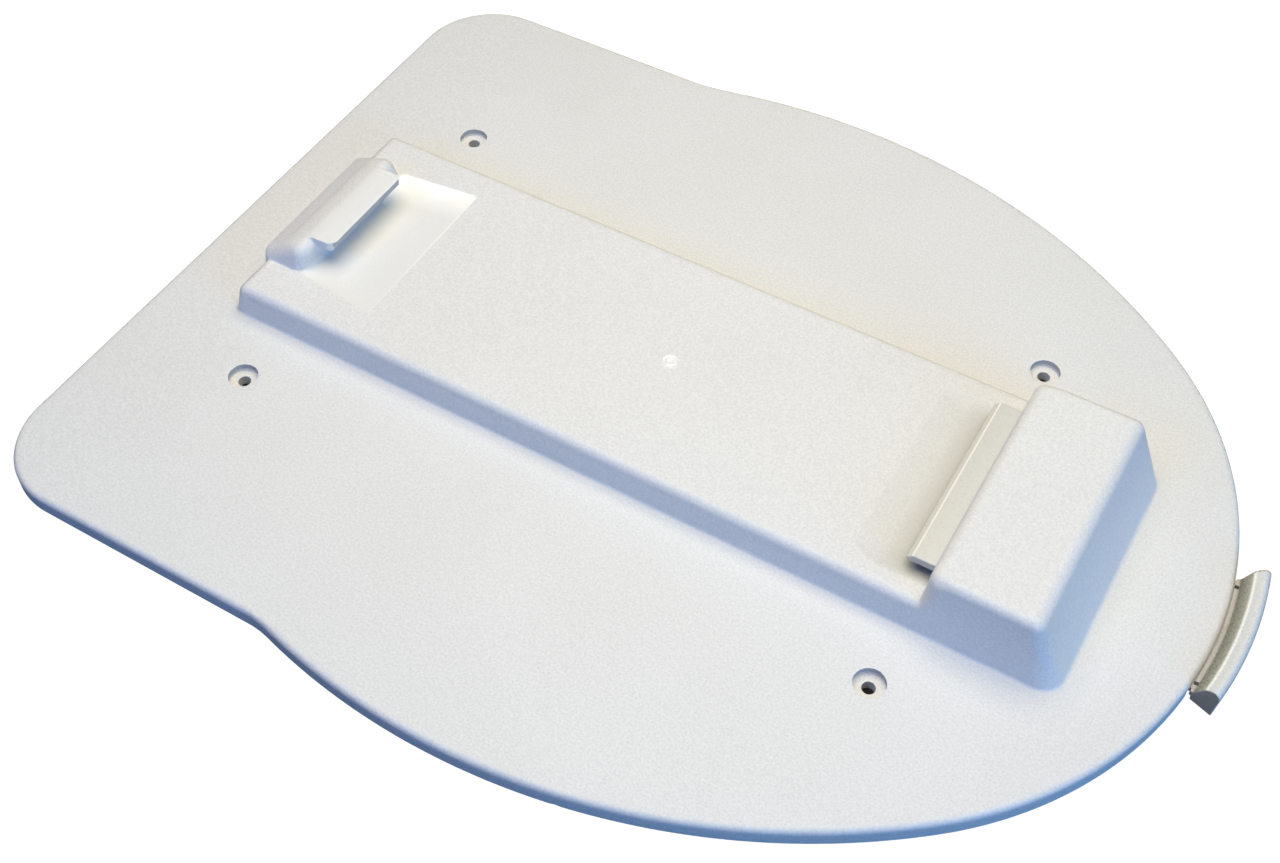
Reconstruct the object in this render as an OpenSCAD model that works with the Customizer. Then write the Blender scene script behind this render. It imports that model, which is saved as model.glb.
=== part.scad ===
// Hold-down floor plate with a fixed rear hook and a sprung front latch.
// Millimetres. The origin is the centre of the four floor-screw holes, on the underside.
// +X points to the pull handle at the front, +Z is up, and z = 0 is the floor.

/* [Plate] */
// Distance from the origin back to the rear edge
plate_rear = 202.6; // [195:0.1:215]
// Full width across the straight rear part
rear_w = 343.4; // [330:0.1:350]
// Radius of the two rear corners in plan
rear_corner_r = 35; // [20:1:50]
// Full width across the widest part of the rounded front
plate_w = 363.2; // [356:0.1:380]
// Radius of the front edge in plan
front_r = 154.5; // [140:0.1:165]
// X of the centre of the front edge's arc
front_x = 86; // [80:0.5:92]
// X of the widest place
widest_x = 10; // [0:1:20]
// Height of the plate's top above the floor
plate_h = 8; // [7.5:0.1:10]
// Wall thickness of the moulding
wall = 3; // [2.5:0.1:3]

/* [Floor screws] */
// Hole spacing along X
hole_dx = 280.6; // [270:0.1:290]
// Hole spacing along Y
hole_dy = 167; // [160:0.1:175]
// Diameter of the screw holes
hole_d = 5.2; // [4.5:0.1:5.5]
// Diameter of the counterbores
counterbore_d = 12.2; // [11:0.1:13]
// Depth of the counterbores
counterbore_depth = 3.5; // [3:0.1:4]

/* [Plinth and latch block] */
// X of the plinth's rear wall at its foot
plinth_rear_x = -166.4; // [-168:0.1:-166]
// Full width of the plinth at its foot
plinth_w = 112.8; // [108:0.1:116]
// Height of the plinth above the plate
plinth_h = 14.2; // [14:0.1:15]
// X of the latch block's rear wall at the plinth's top
block_rear_x = 143.5; // [143:0.1:144]
// X of the latch block's front wall at its foot
block_front_x = 199.1; // [198:0.1:201]
// Height of the latch block above the plate
block_h = 30.2; // [30:0.1:31]
// Slope of the side walls, inwards per millimetre of height
side_draft = 0.126; // [0.1:0.001:0.13]
// Slope of the block's front wall
front_draft = 0.443; // [0.42:0.001:0.45]

/* [Hook] */
// X of the hook's crest
crest_x = -150; // [-152:0.5:-149]
// X of the front edge of the lip
lip_front_x = -135.2; // [-137:0.1:-135]
// Width of the lip
lip_w = 48.6; // [46:0.1:50]
// Height of the lip's top above the plate
lip_h = 25.6; // [25:0.1:26]
// Thickness of the lip
lip_t = 4; // [3.5:0.1:4.5]

/* [Latch] */
// How far the handle and the tongue travel
travel = 11; // [8:0.5:11]
// Width of the latch tongue
tongue_w = 82.2; // [78:0.1:83]
// Thickness of the latch tongue
tongue_t = 3.6; // [3:0.1:4]
// Height of the tongue's top above the plate
tongue_h = 21.2; // [21:0.1:21.4]
// X of the tongue's tip at rest
tongue_tip_x = 132.3; // [132:0.1:134]
// Outer radius of the pull handle in plan
handle_r = 165.5; // [165:0.5:168]
// Height of the pull handle's crest above the floor
handle_z = 13.5; // [11:0.1:15]
// Half width of the pull handle beside the plate's edge
handle_half = 27.2; // [26:0.1:30]
// Angle at which the pull handle's ends spread outwards
handle_flare = 18.7; // [10:0.1:25]

/* [Hidden] */
$fn = 64;
eps = 0.01;
over = 1;                               // how far a cut runs past a face
far = 400;                              // longer than anything in the object

// The side arcs touch the front arc and reach the widest place at widest_x.
arc_step = front_x - widest_x;
arc_rise = plate_w / 2 - front_r;
side_arc_y = (arc_step * arc_step - arc_rise * arc_rise) / (2 * arc_rise);
side_arc_r = plate_w / 2 + side_arc_y;
arc_join_x = front_x + front_r * arc_step / (side_arc_r - front_r);

plinth_z = plate_h + plinth_h;
block_z = plate_h + block_h;
skin_z = plate_h - wall;                // underside of the plate's skin
plinth_half = plinth_w / 2;
rear_draft = 0.22;
block_rear_draft = 0.056;
foot_x = block_front_x + plate_h * front_draft;  // front wall carried down to the floor

hook_rear_z = plate_h + 16.3;
crest_z = plate_h + 25;
lip_z = plate_h + lip_h;
hook_front_x = -144.5;
hook_foot_half = 35.5;
hook_top_half = 28;

pocket_depth = 4.1;
rear_pocket_x = -107.5;
rear_pocket_half = 40.5;
rear_pocket_neck = 36.5;                // half width beside the hook
front_pocket_x = 112;
front_pocket_half = 46;
front_pocket_depth = 3.6;

rib_t = 2;
floor_boss_r = 9.5;
cross_rib_x = [for (i = [0 : 8]) 43 * i - 178];   // under the plate
long_rib_y = [-140, -98, 98, 140];
rear_rib_y = [-35, 0, 35];                        // behind the plinth
plinth_rib_x = [for (i = [0 : 5]) 40 * i - 120];
plinth_rib_y = 18;

// Heights of the cover and of the strap that slides between it and the skin.
cover_z0 = 0.2;
cover_z1 = 2.2;
strap_z0 = 2.5;
strap_z1 = 4.7;
strap_half = 26;
strap_rear_x = 150;
slide_gap = 0.3;

tongue_z1 = plate_h + tongue_h;
tongue_z0 = tongue_z1 - tongue_t;
web_x0 = 152;
web_x1 = 155.2;
bolt_front_x = 163;
foot_half = 20;
bolt_boss_y = 12;
bolt_boss_x = 161;
bolt_boss_r = 3.6;
bolt_boss_h = 7;
foot_t = 2.5;
gusset_y = [-38, -8, 8, 38];
gusset_h = 11;
tip_bevel = 2.2;

spring_y = 25;
spring_z = 17;
spring_coil_r = 4.1;
spring_wire_r = 0.4;
spring_turns = 8;
spigot_r = 2.6;
bolt_spigot = 5.3;
wall_spigot = 8;
spring_wall_x = web_x1 + travel + bolt_spigot + wall_spigot + 2.5;
spring_wall_t = 2.5;
guide_rib_y = [-33, -12, 12, 33];

cover_x0 = block_rear_x + wall + slide_gap;
cover_x1 = block_front_x - wall - 1;
cover_half = plinth_half - wall - 0.5;
cover_screw_x = [151.5, 189.5];
cover_screw_y = 48.8;
cover_boss_r = 3.8;
cover_boss_h = 14;
cover_screw_l = 10;

keeper_x0 = 214;
keeper_x1 = 230;
keeper_half = 41;
keeper_screw_y = 35;
keeper_boss_r = 4.5;
keeper_screw_l = 5.9;
bolt_screw_l = 8;

small_screw_r = 1.45;
small_head_r = 2.75;
small_head_h = 1.4;
head_gap = 0.1;                         // between a countersunk head and its seat

// Plan outline of the plate, moved inwards by inset.
module outline(inset = 0) {
    r_side = side_arc_r - inset;
    half = rear_w / 2 - inset;
    corner = rear_corner_r - inset;
    rear = -plate_rear + inset;
    translate([front_x, 0]) circle(front_r - inset, $fn = 180);
    intersection() {
        translate([widest_x, -side_arc_y]) circle(r_side, $fn = 360);
        translate([widest_x, side_arc_y]) circle(r_side, $fn = 360);
        translate([-plate_rear / 2, -far / 2]) square([arc_join_x + plate_rear / 2, far]);
    }
    translate([rear + corner, -half]) square([arc_step - rear - corner, 2 * half]);
    translate([rear, -half + corner]) square([corner + over, 2 * (half - corner)]);
    for (side = [-1, 1])
        translate([rear + corner, side * (half - corner)]) circle(corner);
}

// Extrudes an X-Z outline across the width, centred on Y = 0.
module across(half) {
    translate([0, half, 0]) rotate([90, 0, 0]) linear_extrude(2 * half) children();
}

// Extrudes a Y-Z outline along X between two stations.
module along(x0, x1) {
    translate([x0, 0, 0]) rotate([90, 0, 90]) linear_extrude(x1 - x0) children();
}

module block(x0, x1, half, z0, z1) {
    translate([x0, -half, z0]) cube([x1 - x0, 2 * half, z1 - z0]);
}

// Plinth and latch block share their side walls; inset hollows them.
module plinth_form(inset = 0, z0 = 0) {
    drop = plate_h - z0;
    top = plinth_z - inset;
    crown = block_z - inset;
    intersection() {
        across(far / 2) polygon([
            [plinth_rear_x + inset, z0],
            [plinth_rear_x + inset, plate_h],
            [plinth_rear_x + inset + rear_draft * (plinth_h - inset), top],
            [block_rear_x + inset, top],
            [block_rear_x + inset + block_rear_draft * (block_h - plinth_h), crown],
            [block_front_x - inset - front_draft * (block_h - inset), crown],
            [block_front_x - inset, plate_h],
            [block_front_x - inset, z0]
        ]);
        along(-far, far) polygon([
            [-plinth_half + inset, z0],
            [-plinth_half + inset, plate_h],
            [-plinth_half + inset + side_draft * (block_h - inset), crown],
            [plinth_half - inset - side_draft * (block_h - inset), crown],
            [plinth_half - inset, plate_h],
            [plinth_half - inset, z0]
        ]);
    }
}

// Solid hook, and with inset the hollow that cores it from below.
module hook_form(inset = 0) {
    z0 = plate_h + inset;
    intersection() {
        across(far / 2) polygon([
            [plinth_rear_x + inset, z0 - 2 * inset],
            [plinth_rear_x + inset, hook_rear_z - inset * 1.1],
            [crest_x, crest_z - inset * 1.1],
            [hook_front_x - inset, crest_z - inset * 1.1],
            [hook_front_x - inset, z0 - 2 * inset]
        ]);
        along(-far, far) polygon([
            [-hook_foot_half + inset, z0 - 2 * inset],
            [-hook_foot_half + inset, plinth_z],
            [-hook_top_half + inset, crest_z],
            [hook_top_half - inset, crest_z],
            [hook_foot_half - inset, plinth_z],
            [hook_foot_half - inset, z0 - 2 * inset]
        ]);
    }
}

module hook_lip() {
    across(lip_w / 2) polygon([
        [crest_x + 2, crest_z - 2],
        [crest_x + 2, crest_z],
        [hook_front_x, lip_z - 0.2],
        [lip_front_x, lip_z],
        [lip_front_x, lip_z - lip_t],
        [hook_front_x - over, lip_z - lip_t]
    ]);
}

// Ramps that lead a foot of the appliance under the lip and under the tongue.
module rear_pocket() {
    intersection() {
        across(rear_pocket_half) polygon([
            [rear_pocket_x, plinth_z],
            [hook_front_x, plinth_z - pocket_depth],
            [hook_front_x, plinth_z + over],
            [rear_pocket_x, plinth_z + over]
        ]);
        linear_extrude(plinth_z + 2 * over) polygon([
            [hook_front_x, -rear_pocket_neck],
            [rear_pocket_x, -rear_pocket_half],
            [rear_pocket_x, rear_pocket_half],
            [hook_front_x, rear_pocket_neck]
        ]);
    }
}

module front_pocket() {
    across(front_pocket_half) polygon([
        [front_pocket_x, plinth_z],
        [block_rear_x, plinth_z - front_pocket_depth],
        [block_rear_x, plinth_z + over],
        [front_pocket_x, plinth_z + over]
    ]);
}

// Skin that is kept below the two ramps.
module pocket_floors() {
    across(rear_pocket_half + wall) polygon([
        [rear_pocket_x, plinth_z],
        [rear_pocket_x, plinth_z - wall],
        [hook_front_x - wall, plinth_z - pocket_depth - wall],
        [hook_front_x - wall, plinth_z]
    ]);
    across(front_pocket_half + wall) polygon([
        [front_pocket_x, plinth_z],
        [front_pocket_x, plinth_z - wall],
        [block_rear_x, plinth_z - front_pocket_depth - wall],
        [block_rear_x + wall, plinth_z - front_pocket_depth - wall],
        [block_rear_x + wall, plinth_z]
    ]);
}

module floor_ribs() {
    intersection() {
        linear_extrude(skin_z + eps) outline(wall / 2);
        union() {
            for (x = cross_rib_x)
                for (side = [-1, 1])
                    translate([x - rib_t / 2, side > 0 ? plinth_half : -far / 2, 0])
                        cube([rib_t, far / 2 - plinth_half, skin_z + eps]);
            for (y = long_rib_y)
                translate([-far / 2, y - rib_t / 2, 0]) cube([far, rib_t, skin_z + eps]);
            for (y = rear_rib_y)
                translate([-far / 2, y - rib_t / 2, 0])
                    cube([far / 2 + plinth_rear_x + over, rib_t, skin_z + eps]);
        }
    }
    block(plinth_rear_x, block_front_x, plinth_half, 0, skin_z + eps);
}

module plinth_ribs() {
    for (x = plinth_rib_x)
        block(x - rib_t / 2, x + rib_t / 2, plinth_half - wall + eps, 0,
              plinth_z - wall + eps);
    block(block_rear_x, block_rear_x + wall, plinth_half - wall + eps, 0,
          plinth_z - front_pocket_depth - wall + eps);
    for (y = [-plinth_rib_y, plinth_rib_y])
        translate([plinth_rear_x + wall - eps, y - rib_t / 2, 0])
            cube([block_rear_x - plinth_rear_x - wall, rib_t, plinth_z - pocket_depth - wall / 2]);
}

// Spring wall, spigots, guide ribs and screw bosses inside the latch block.
module latch_seat() {
    intersection() {
        union() {
            block(spring_wall_x, spring_wall_x + spring_wall_t, tongue_w / 2 + 4,
                  strap_z1 + wall + 0.5, block_z - wall + eps);
            for (y = guide_rib_y)
                translate([block_rear_x + wall, y - rib_t / 2, tongue_z1 + slide_gap])
                    cube([spring_wall_x - block_rear_x, rib_t, block_h]);
            for (x = cover_screw_x)
                for (side = [-1, 1])
                    translate([x, side * cover_screw_y, cover_z1])
                        cylinder(r = cover_boss_r, h = cover_boss_h);
            for (x = cover_screw_x)
                for (side = [-1, 1])
                    translate([x - rib_t / 2, side > 0 ? cover_screw_y : -plinth_half, cover_z1])
                        cube([rib_t, plinth_half - cover_screw_y, cover_boss_h]);
        }
        plinth_form(wall - eps, 0);
    }
    for (side = [-1, 1])
        translate([spring_wall_x - wall_spigot, side * spring_y, spring_z])
            rotate([0, 90, 0]) cylinder(r = spigot_r, h = wall_spigot + eps);
}

// Rails beside the strap and the two bosses of its keeper.
module strap_rails() {
    for (side = [-1, 1]) {
        translate([block_front_x - wall, side * (strap_half + slide_gap + rib_t / 2) - rib_t / 2,
                   cover_z1])
            cube([keeper_x1 + 4 - block_front_x + wall, rib_t, skin_z - cover_z1 + eps]);
        translate([(keeper_x0 + keeper_x1) / 2, side * keeper_screw_y, cover_z1])
            cylinder(r = keeper_boss_r, h = skin_z - cover_z1 + eps);
    }
}

module at_floor_screws() {
    for (x = [-hole_dx / 2, hole_dx / 2])
        for (y = [-hole_dy / 2, hole_dy / 2])
            translate([x, y, 0]) children();
}

module at_cover_screws() {
    for (x = cover_screw_x)
        for (side = [-1, 1])
            translate([x, side * cover_screw_y, 0]) children();
}

module at_keeper_screws() {
    for (side = [-1, 1])
        translate([(keeper_x0 + keeper_x1) / 2, side * keeper_screw_y, 0]) children();
}

module at_bolt_screws() {
    for (side = [-1, 1])
        translate([bolt_boss_x, side * bolt_boss_y, 0]) children();
}

module base_moulding() {
    color([0.87, 0.88, 0.88]) difference() {
        union() {
            difference() {
                union() {
                    linear_extrude(plate_h) outline();
                    plinth_form(0, plate_h - wall);
                    hook_form();
                }
                difference() {
                    translate([0, 0, -over]) linear_extrude(skin_z + over) outline(wall);
                    floor_ribs();
                    at_floor_screws() cylinder(r = floor_boss_r, h = plate_h);
                }
                difference() {
                    plinth_form(wall, -over);
                    pocket_floors();
                    block(block_rear_x - over, block_rear_x + wall, far / 4,
                          plinth_z - wall, plinth_z + over);
                }
                hook_form(wall);
            }
            hook_lip();
            plinth_ribs();
            latch_seat();
            strap_rails();
        }
        rear_pocket();
        front_pocket();
        // Slot for the tongue
        block(block_rear_x - over, block_rear_x + wall + 0.6, tongue_w / 2 + 0.7,
              plinth_z - front_pocket_depth, tongue_z1 + slide_gap);
        // Gate for the strap under the front wall of the block
        block(block_front_x - wall - over, block_front_x + over, strap_half + slide_gap,
              -over, skin_z);
        // Notch in the front skirt
        block(front_x + front_r - 12, front_x + front_r + over, strap_half + 1.5, -over, skin_z);
        at_floor_screws() {
            translate([0, 0, -over]) cylinder(d = hole_d, h = plate_h + 2 * over);
            translate([0, 0, plate_h - counterbore_depth])
                cylinder(d = counterbore_d, h = counterbore_depth + over);
        }
        at_cover_screws()
            translate([0, 0, cover_z0]) cylinder(r = small_screw_r, h = cover_screw_l + over);
        at_keeper_screws()
            translate([0, 0, cover_z0]) cylinder(r = small_screw_r, h = keeper_screw_l + 0.3);
    }
}

// Section of the handle: a low shelf beside the plate, then a tall rounded crest.
// Its radii are counted from the centre of the front edge's arc.
handle_in = front_r + 0.5;
handle_z0 = 0.4;
shelf_z = 4.6;
shelf_r = handle_in + 1.9;
crest_round = 3.3;
crest_r = handle_r - crest_round;
handle_profile = concat(
    [[handle_in, handle_z0], [handle_in, shelf_z], [shelf_r, shelf_z]],
    [for (a = [175 : -15 : -5])
        [crest_r + crest_round * cos(a), handle_z - crest_round + crest_round * sin(a)]],
    [[handle_r - 0.3, handle_z0]]
);

// Plan of the handle between its two spreading ends.
module handle_plan() {
    edge_x = front_x + sqrt(handle_in * handle_in - handle_half * handle_half);
    reach = 20;
    spread = reach * tan(handle_flare);
    polygon([
        [edge_x - reach, -handle_half + spread], [edge_x + reach, -handle_half - spread],
        [edge_x + reach, handle_half + spread], [edge_x - reach, handle_half - spread]
    ]);
}

module pull_handle() {
    sweep = 15;
    color([0.86, 0.84, 0.78]) difference() {
        union() {
            intersection() {
                translate([front_x, 0, 0]) rotate([0, 0, -sweep])
                    rotate_extrude(angle = 2 * sweep, $fn = 180) polygon(handle_profile);
                linear_extrude(handle_z + over) handle_plan();
            }
            intersection() {
                block(strap_rear_x, far, strap_half, strap_z0, strap_z1);
                translate([front_x, 0, 0]) cylinder(r = handle_in + over, h = plate_h, $fn = 180);
            }
        }
        at_bolt_screws() countersunk_hole(strap_z0, small_screw_r);
    }
}

// Clearance for a countersunk screw whose head is flush with z0.
module countersunk_hole(z0, r) {
    translate([0, 0, z0 - over]) cylinder(r = r, h = over + 4);
    translate([0, 0, z0 - eps]) cylinder(r1 = small_head_r, r2 = r, h = small_head_h);
    translate([0, 0, z0 - over]) cylinder(r = small_head_r, h = over);
}

// Countersunk screw with a cross recess and a short point, head down at z0.
module countersunk_screw(z0, length) {
    shank_r = small_screw_r - head_gap / 2;
    point = 1;
    difference() {
        union() {
            translate([0, 0, z0])
                cylinder(r1 = small_head_r - head_gap, r2 = shank_r, h = small_head_h);
            translate([0, 0, z0]) cylinder(r = shank_r, h = length - point);
            translate([0, 0, z0 + length - point]) cylinder(r1 = shank_r, r2 = 0.4, h = point);
        }
        for (turn = [0, 90])
            rotate([0, 0, turn]) translate([-1.5, -0.3, z0 - over]) cube([3, 0.6, over + 0.8]);
    }
}

module latch_bolt() {
    color([0.88, 0.86, 0.81]) difference() {
        union() {
            across(tongue_w / 2) polygon([
                [tongue_tip_x, tongue_z0],
                [tongue_tip_x, tongue_z1 - tip_bevel],
                [tongue_tip_x + tip_bevel, tongue_z1],
                [bolt_front_x, tongue_z1],
                [bolt_front_x, tongue_z0],
                [web_x1, tongue_z0],
                [web_x1, strap_z1 + 0.5],
                [web_x0, strap_z1 + 0.5],
                [web_x0, tongue_z0]
            ]);
            block(web_x0, bolt_boss_x + bolt_boss_r + 0.6, foot_half, strap_z1,
                  strap_z1 + foot_t);
            at_bolt_screws() translate([0, 0, strap_z1])
                cylinder(r = bolt_boss_r, h = bolt_boss_h);
            for (y = gusset_y)
                translate([0, y, 0]) across(rib_t / 2) polygon([
                    [web_x1 - eps, tongue_z0 + eps], [bolt_front_x, tongue_z0 + eps],
                    [web_x1 - eps, tongue_z0 - gusset_h]
                ]);
            for (side = [-1, 1])
                translate([web_x1 - eps, side * spring_y, spring_z])
                    rotate([0, 90, 0]) cylinder(r = spigot_r, h = bolt_spigot);
        }
        at_bolt_screws() translate([0, 0, strap_z1 - over])
            cylinder(r = small_screw_r, h = bolt_boss_h);
    }
}

module bolt_screws() {
    color([0.72, 0.73, 0.75]) at_bolt_screws() countersunk_screw(strap_z0, bolt_screw_l);
}

// Helix with closed ends, swept as a ring of points round its wire.
spring_x0 = web_x1 + spring_wire_r + 0.1;
spring_x1 = spring_wall_x - spring_wire_r - 0.1;
ring_sides = 6;
ring_count = spring_turns * 14;
function end_pitch(t) = t < 0.12 ? t * 0.4 : t > 0.88 ? 1 - (1 - t) * 0.4
    : 0.048 + (t - 0.12) * 0.904 / 0.76;
function coil_point(i, k) =
    let (t = i / ring_count, turn = 360 * spring_turns * t, a = 360 * k / ring_sides,
         r = spring_coil_r + spring_wire_r * cos(a))
    [spring_x0 + (spring_x1 - spring_x0) * end_pitch(t) + spring_wire_r * sin(a),
     r * cos(turn), r * sin(turn)];

module return_spring() {
    points = [for (i = [0 : ring_count]) for (k = [0 : ring_sides - 1]) coil_point(i, k)];
    sides = [for (i = [0 : ring_count - 1]) for (k = [0 : ring_sides - 1])
        let (next = (k + 1) % ring_sides, a = i * ring_sides, b = a + ring_sides)
        [a + k, b + k, b + next, a + next]];
    first = [[for (k = [0 : ring_sides - 1]) k]];
    last = [[for (k = [ring_sides - 1 : -1 : 0]) ring_count * ring_sides + k]];
    polyhedron(points, concat(sides, first, last));
}

module return_spring_left() {
    color([0.68, 0.7, 0.73]) translate([0, spring_y, spring_z]) return_spring();
}

module return_spring_right() {
    color([0.68, 0.7, 0.73]) translate([0, -spring_y, spring_z]) return_spring();
}

module block_cover() {
    color([0.83, 0.84, 0.84]) difference() {
        block(cover_x0, cover_x1, cover_half, cover_z0, cover_z1);
        at_cover_screws() countersunk_hole(cover_z0, small_screw_r);
    }
}

module cover_screws() {
    color([0.72, 0.73, 0.75]) at_cover_screws() countersunk_screw(cover_z0, cover_screw_l);
}

module strap_keeper() {
    color([0.83, 0.84, 0.84]) difference() {
        block(keeper_x0, keeper_x1, keeper_half, cover_z0, cover_z1);
        at_keeper_screws() countersunk_hole(cover_z0, small_screw_r);
    }
}

module keeper_screws() {
    color([0.72, 0.73, 0.75]) at_keeper_screws() countersunk_screw(cover_z0, keeper_screw_l);
}

base_moulding();
pull_handle();
latch_bolt();
bolt_screws();
return_spring_left();
return_spring_right();
block_cover();
cover_screws();
strap_keeper();
keeper_screws();
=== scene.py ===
"""Looks of a hold-down floor plate with a sprung latch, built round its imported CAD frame.

The base moulding, the pull handle, the latch bolt and the springs are remeshed here with
their moulded radii; the covers and screws keep their CAD shapes. Shapes are worked out in
millimetres and turned into metres when their meshes are made.
"""
import math

import bpy
import numpy as np
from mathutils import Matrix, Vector


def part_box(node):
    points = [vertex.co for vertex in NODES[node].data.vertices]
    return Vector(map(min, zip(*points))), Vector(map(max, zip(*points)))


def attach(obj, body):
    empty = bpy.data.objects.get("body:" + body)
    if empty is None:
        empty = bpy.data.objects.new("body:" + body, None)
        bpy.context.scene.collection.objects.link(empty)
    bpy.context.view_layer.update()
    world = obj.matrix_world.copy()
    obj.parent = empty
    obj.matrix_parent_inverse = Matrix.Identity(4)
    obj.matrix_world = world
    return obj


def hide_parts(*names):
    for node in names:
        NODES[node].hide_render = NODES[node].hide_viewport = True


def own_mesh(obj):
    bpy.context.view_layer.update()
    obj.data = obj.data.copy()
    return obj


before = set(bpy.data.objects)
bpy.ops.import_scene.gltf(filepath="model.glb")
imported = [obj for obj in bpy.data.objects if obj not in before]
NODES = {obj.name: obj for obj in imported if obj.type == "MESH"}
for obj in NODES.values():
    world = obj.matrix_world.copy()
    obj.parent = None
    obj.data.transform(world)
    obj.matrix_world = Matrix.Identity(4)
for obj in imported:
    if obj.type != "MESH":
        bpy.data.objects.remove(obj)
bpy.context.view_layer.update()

MM = 0.001


def node_mm(name):
    """Lowest and highest corner of a CAD node, in millimetres."""
    low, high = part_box(name)
    return np.array(low) / MM, np.array(high) / MM


# ---------------------------------------------------------------- sizes, in millimetres

BASE_LOW, BASE_HIGH = node_mm("base_moulding")
BOLT_LOW, BOLT_HIGH = node_mm("latch_bolt")
HANDLE_LOW, HANDLE_HIGH = node_mm("pull_handle")
SPRING_LOW, SPRING_HIGH = node_mm("return_spring_left")

# plate
WALL = 3.0
RIB = 2.0
PLATE_H = 8.0                       # top of the plate above the floor
SKIN_Z = PLATE_H - WALL
PLATE_REAR = BASE_LOW[0]
REAR_HALF = 171.7                   # half width of the straight rear part
REAR_CORNER = 35.0
FRONT_X = 86.0                      # centre of the front edge's arc
FRONT_R = BASE_HIGH[0] - FRONT_X
WIDEST_X = 10.0
HALF_W = BASE_HIGH[1]
ARC_STEP = FRONT_X - WIDEST_X
ARC_RISE = HALF_W - FRONT_R
SIDE_Y = (ARC_STEP ** 2 - ARC_RISE ** 2) / (2 * ARC_RISE)
SIDE_R = HALF_W + SIDE_Y
WAIST_ROUND = 1.2                   # where the straight part meets the side arc
CREASE_X = -147.0                   # behind this line the plate falls away slightly
CREASE_FALL = 0.012
EDGE_ROUND = 2.4
SKIRT_DRAFT = 0.03

# plinth and latch block
PLINTH_REAR = -166.4
PLINTH_HALF = 56.4
PLINTH_Z = PLATE_H + 14.2
BLOCK_REAR = 143.5
BLOCK_FRONT = 199.1
BLOCK_Z = BASE_HIGH[2]
SIDE_DRAFT = 0.126
FRONT_DRAFT = 0.443
REAR_DRAFT = 0.22
BLOCK_REAR_DRAFT = 0.056
TOP_ROUND = 3.2
STEP_EXTRA_ROUND = 1.8              # added to TOP_ROUND along the block's rear top edge
FRONT_CORNER = 3.0                  # radius of the block's front corners at its top
FRONT_CORNER_GROWTH = 0.17          # and its growth for each millimetre further down
REAR_CORNER_ROUND = 3.0
STEP_ROUND = 3.8                    # along the block's rear top edge
STEP_FILLET = 1.0
FOOT_ROUND = 0.9
INNER_ROUNDS = 0.15                 # the hollow's radii, as a share of the outer ones
GATE_X = 11.8                       # mark where the moulding was filled

# hook and its lip
HOOK_FRONT = -144.5
HOOK_HALF = 35.5
HOOK_REAR_Z = 24.3
HOOK_END_DRAFT = 0.27
HOOK_CORNER = 5.0
HOOK_REAR_ROUND = 1.5
CREST_X = -150.0
CREST_Z = 33.0
BACK_ROUND = 3.0                    # where the slope at the back meets the top
LIP_FRONT = -135.2
LIP_HALF = 24.3
LIP_Z = 33.6
LIP_T = 4.0
LIP_FALL = 0.6                      # fall of the lip's top from its front to the crest
LIP_FACE_DRAFT = 0.2
LIP_EDGE = 0.6
LIP_CORNER = 3.6

# ramps cut into the plinth's top
REAR_RAMP_X = -107.5
REAR_RAMP_HALF = 40.0
REAR_RAMP_NECK = 35.5               # half width beside the hook
REAR_RAMP_DEPTH = 4.1
FRONT_RAMP_X = 112.0
FRONT_RAMP_HALF = 46.0
FRONT_RAMP_DEPTH = 3.6
RAMP_SIDE = 3.0                     # how far the ramps' sides lean out per millimetre of depth
RAMP_CORNER = 2.0
RAMP_FILLET = 3.2                   # along the rear ramp's sides, beside the hook
RAMP_FILLET_LOSS = 3.0              # how much of it is gone at the ramp's front edge
OVERRUN = 5.0                       # how far a ramp's cut runs on past its shallow end
CUT_ABOVE = 0.6                     # and above the plinth's top

# screw holes
HOLE_X = 140.3
HOLE_Y = 83.5
HOLE_R = 2.6
COUNTERBORE_R = 6.1
COUNTERBORE_DEPTH = 3.5
COUNTERBORE_EDGE = 0.45
BOSS_R = 9.5
PILOT_R = 1.45
COVER_PILOT_Z = 11.0                # tops of the pilot holes
KEEPER_PILOT_Z = 6.4

# underside
COVER_Z = 2.2
CROSS_RIB_X = -178.0
CROSS_RIB_PITCH = 43.0
LONG_RIB_Y = (98.0, 140.0)
REAR_RIB_Y = (0.0, 35.0)
RAIL_X = (196.0, 234.0)             # rails beside the strap
PLINTH_RIBS = (-121.5, 81.5)        # stretch of the plinth that has cross ribs
PLINTH_RIB_X = -120.0
PLINTH_RIB_PITCH = 40.0
PLINTH_RIB_Y = 18.0
PLINTH_WALL_Z = 17.0                # top of the wall between plinth and block
GUIDE_Y = (12.0, 33.0)              # ribs over the latch bolt
SPRING_Y = 25.0
SPRING_Z = 17.0
SPRING_WALL = 182.0
SPRING_WALL_T = 2.5
SPRING_WALL_HALF = 45.0
SPRING_WALL_LOW = 8.2
SPIGOT_R = 2.6
SPIGOT_LONG = 8.0
COVER_SCREW_X = (151.5, 189.5)
COVER_SCREW_Y = 48.8
COVER_BOSS_R = 3.8
COVER_BOSS_H = 14.0
KEEPER_X = (214.0, 230.0)
KEEPER_SCREW_X = sum(KEEPER_X) / 2
KEEPER_SCREW_Y = 35.0
KEEPER_BOSS_R = 4.5
NOTCH_X = 228.5                     # the strap leaves the plate in front of this

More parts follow.
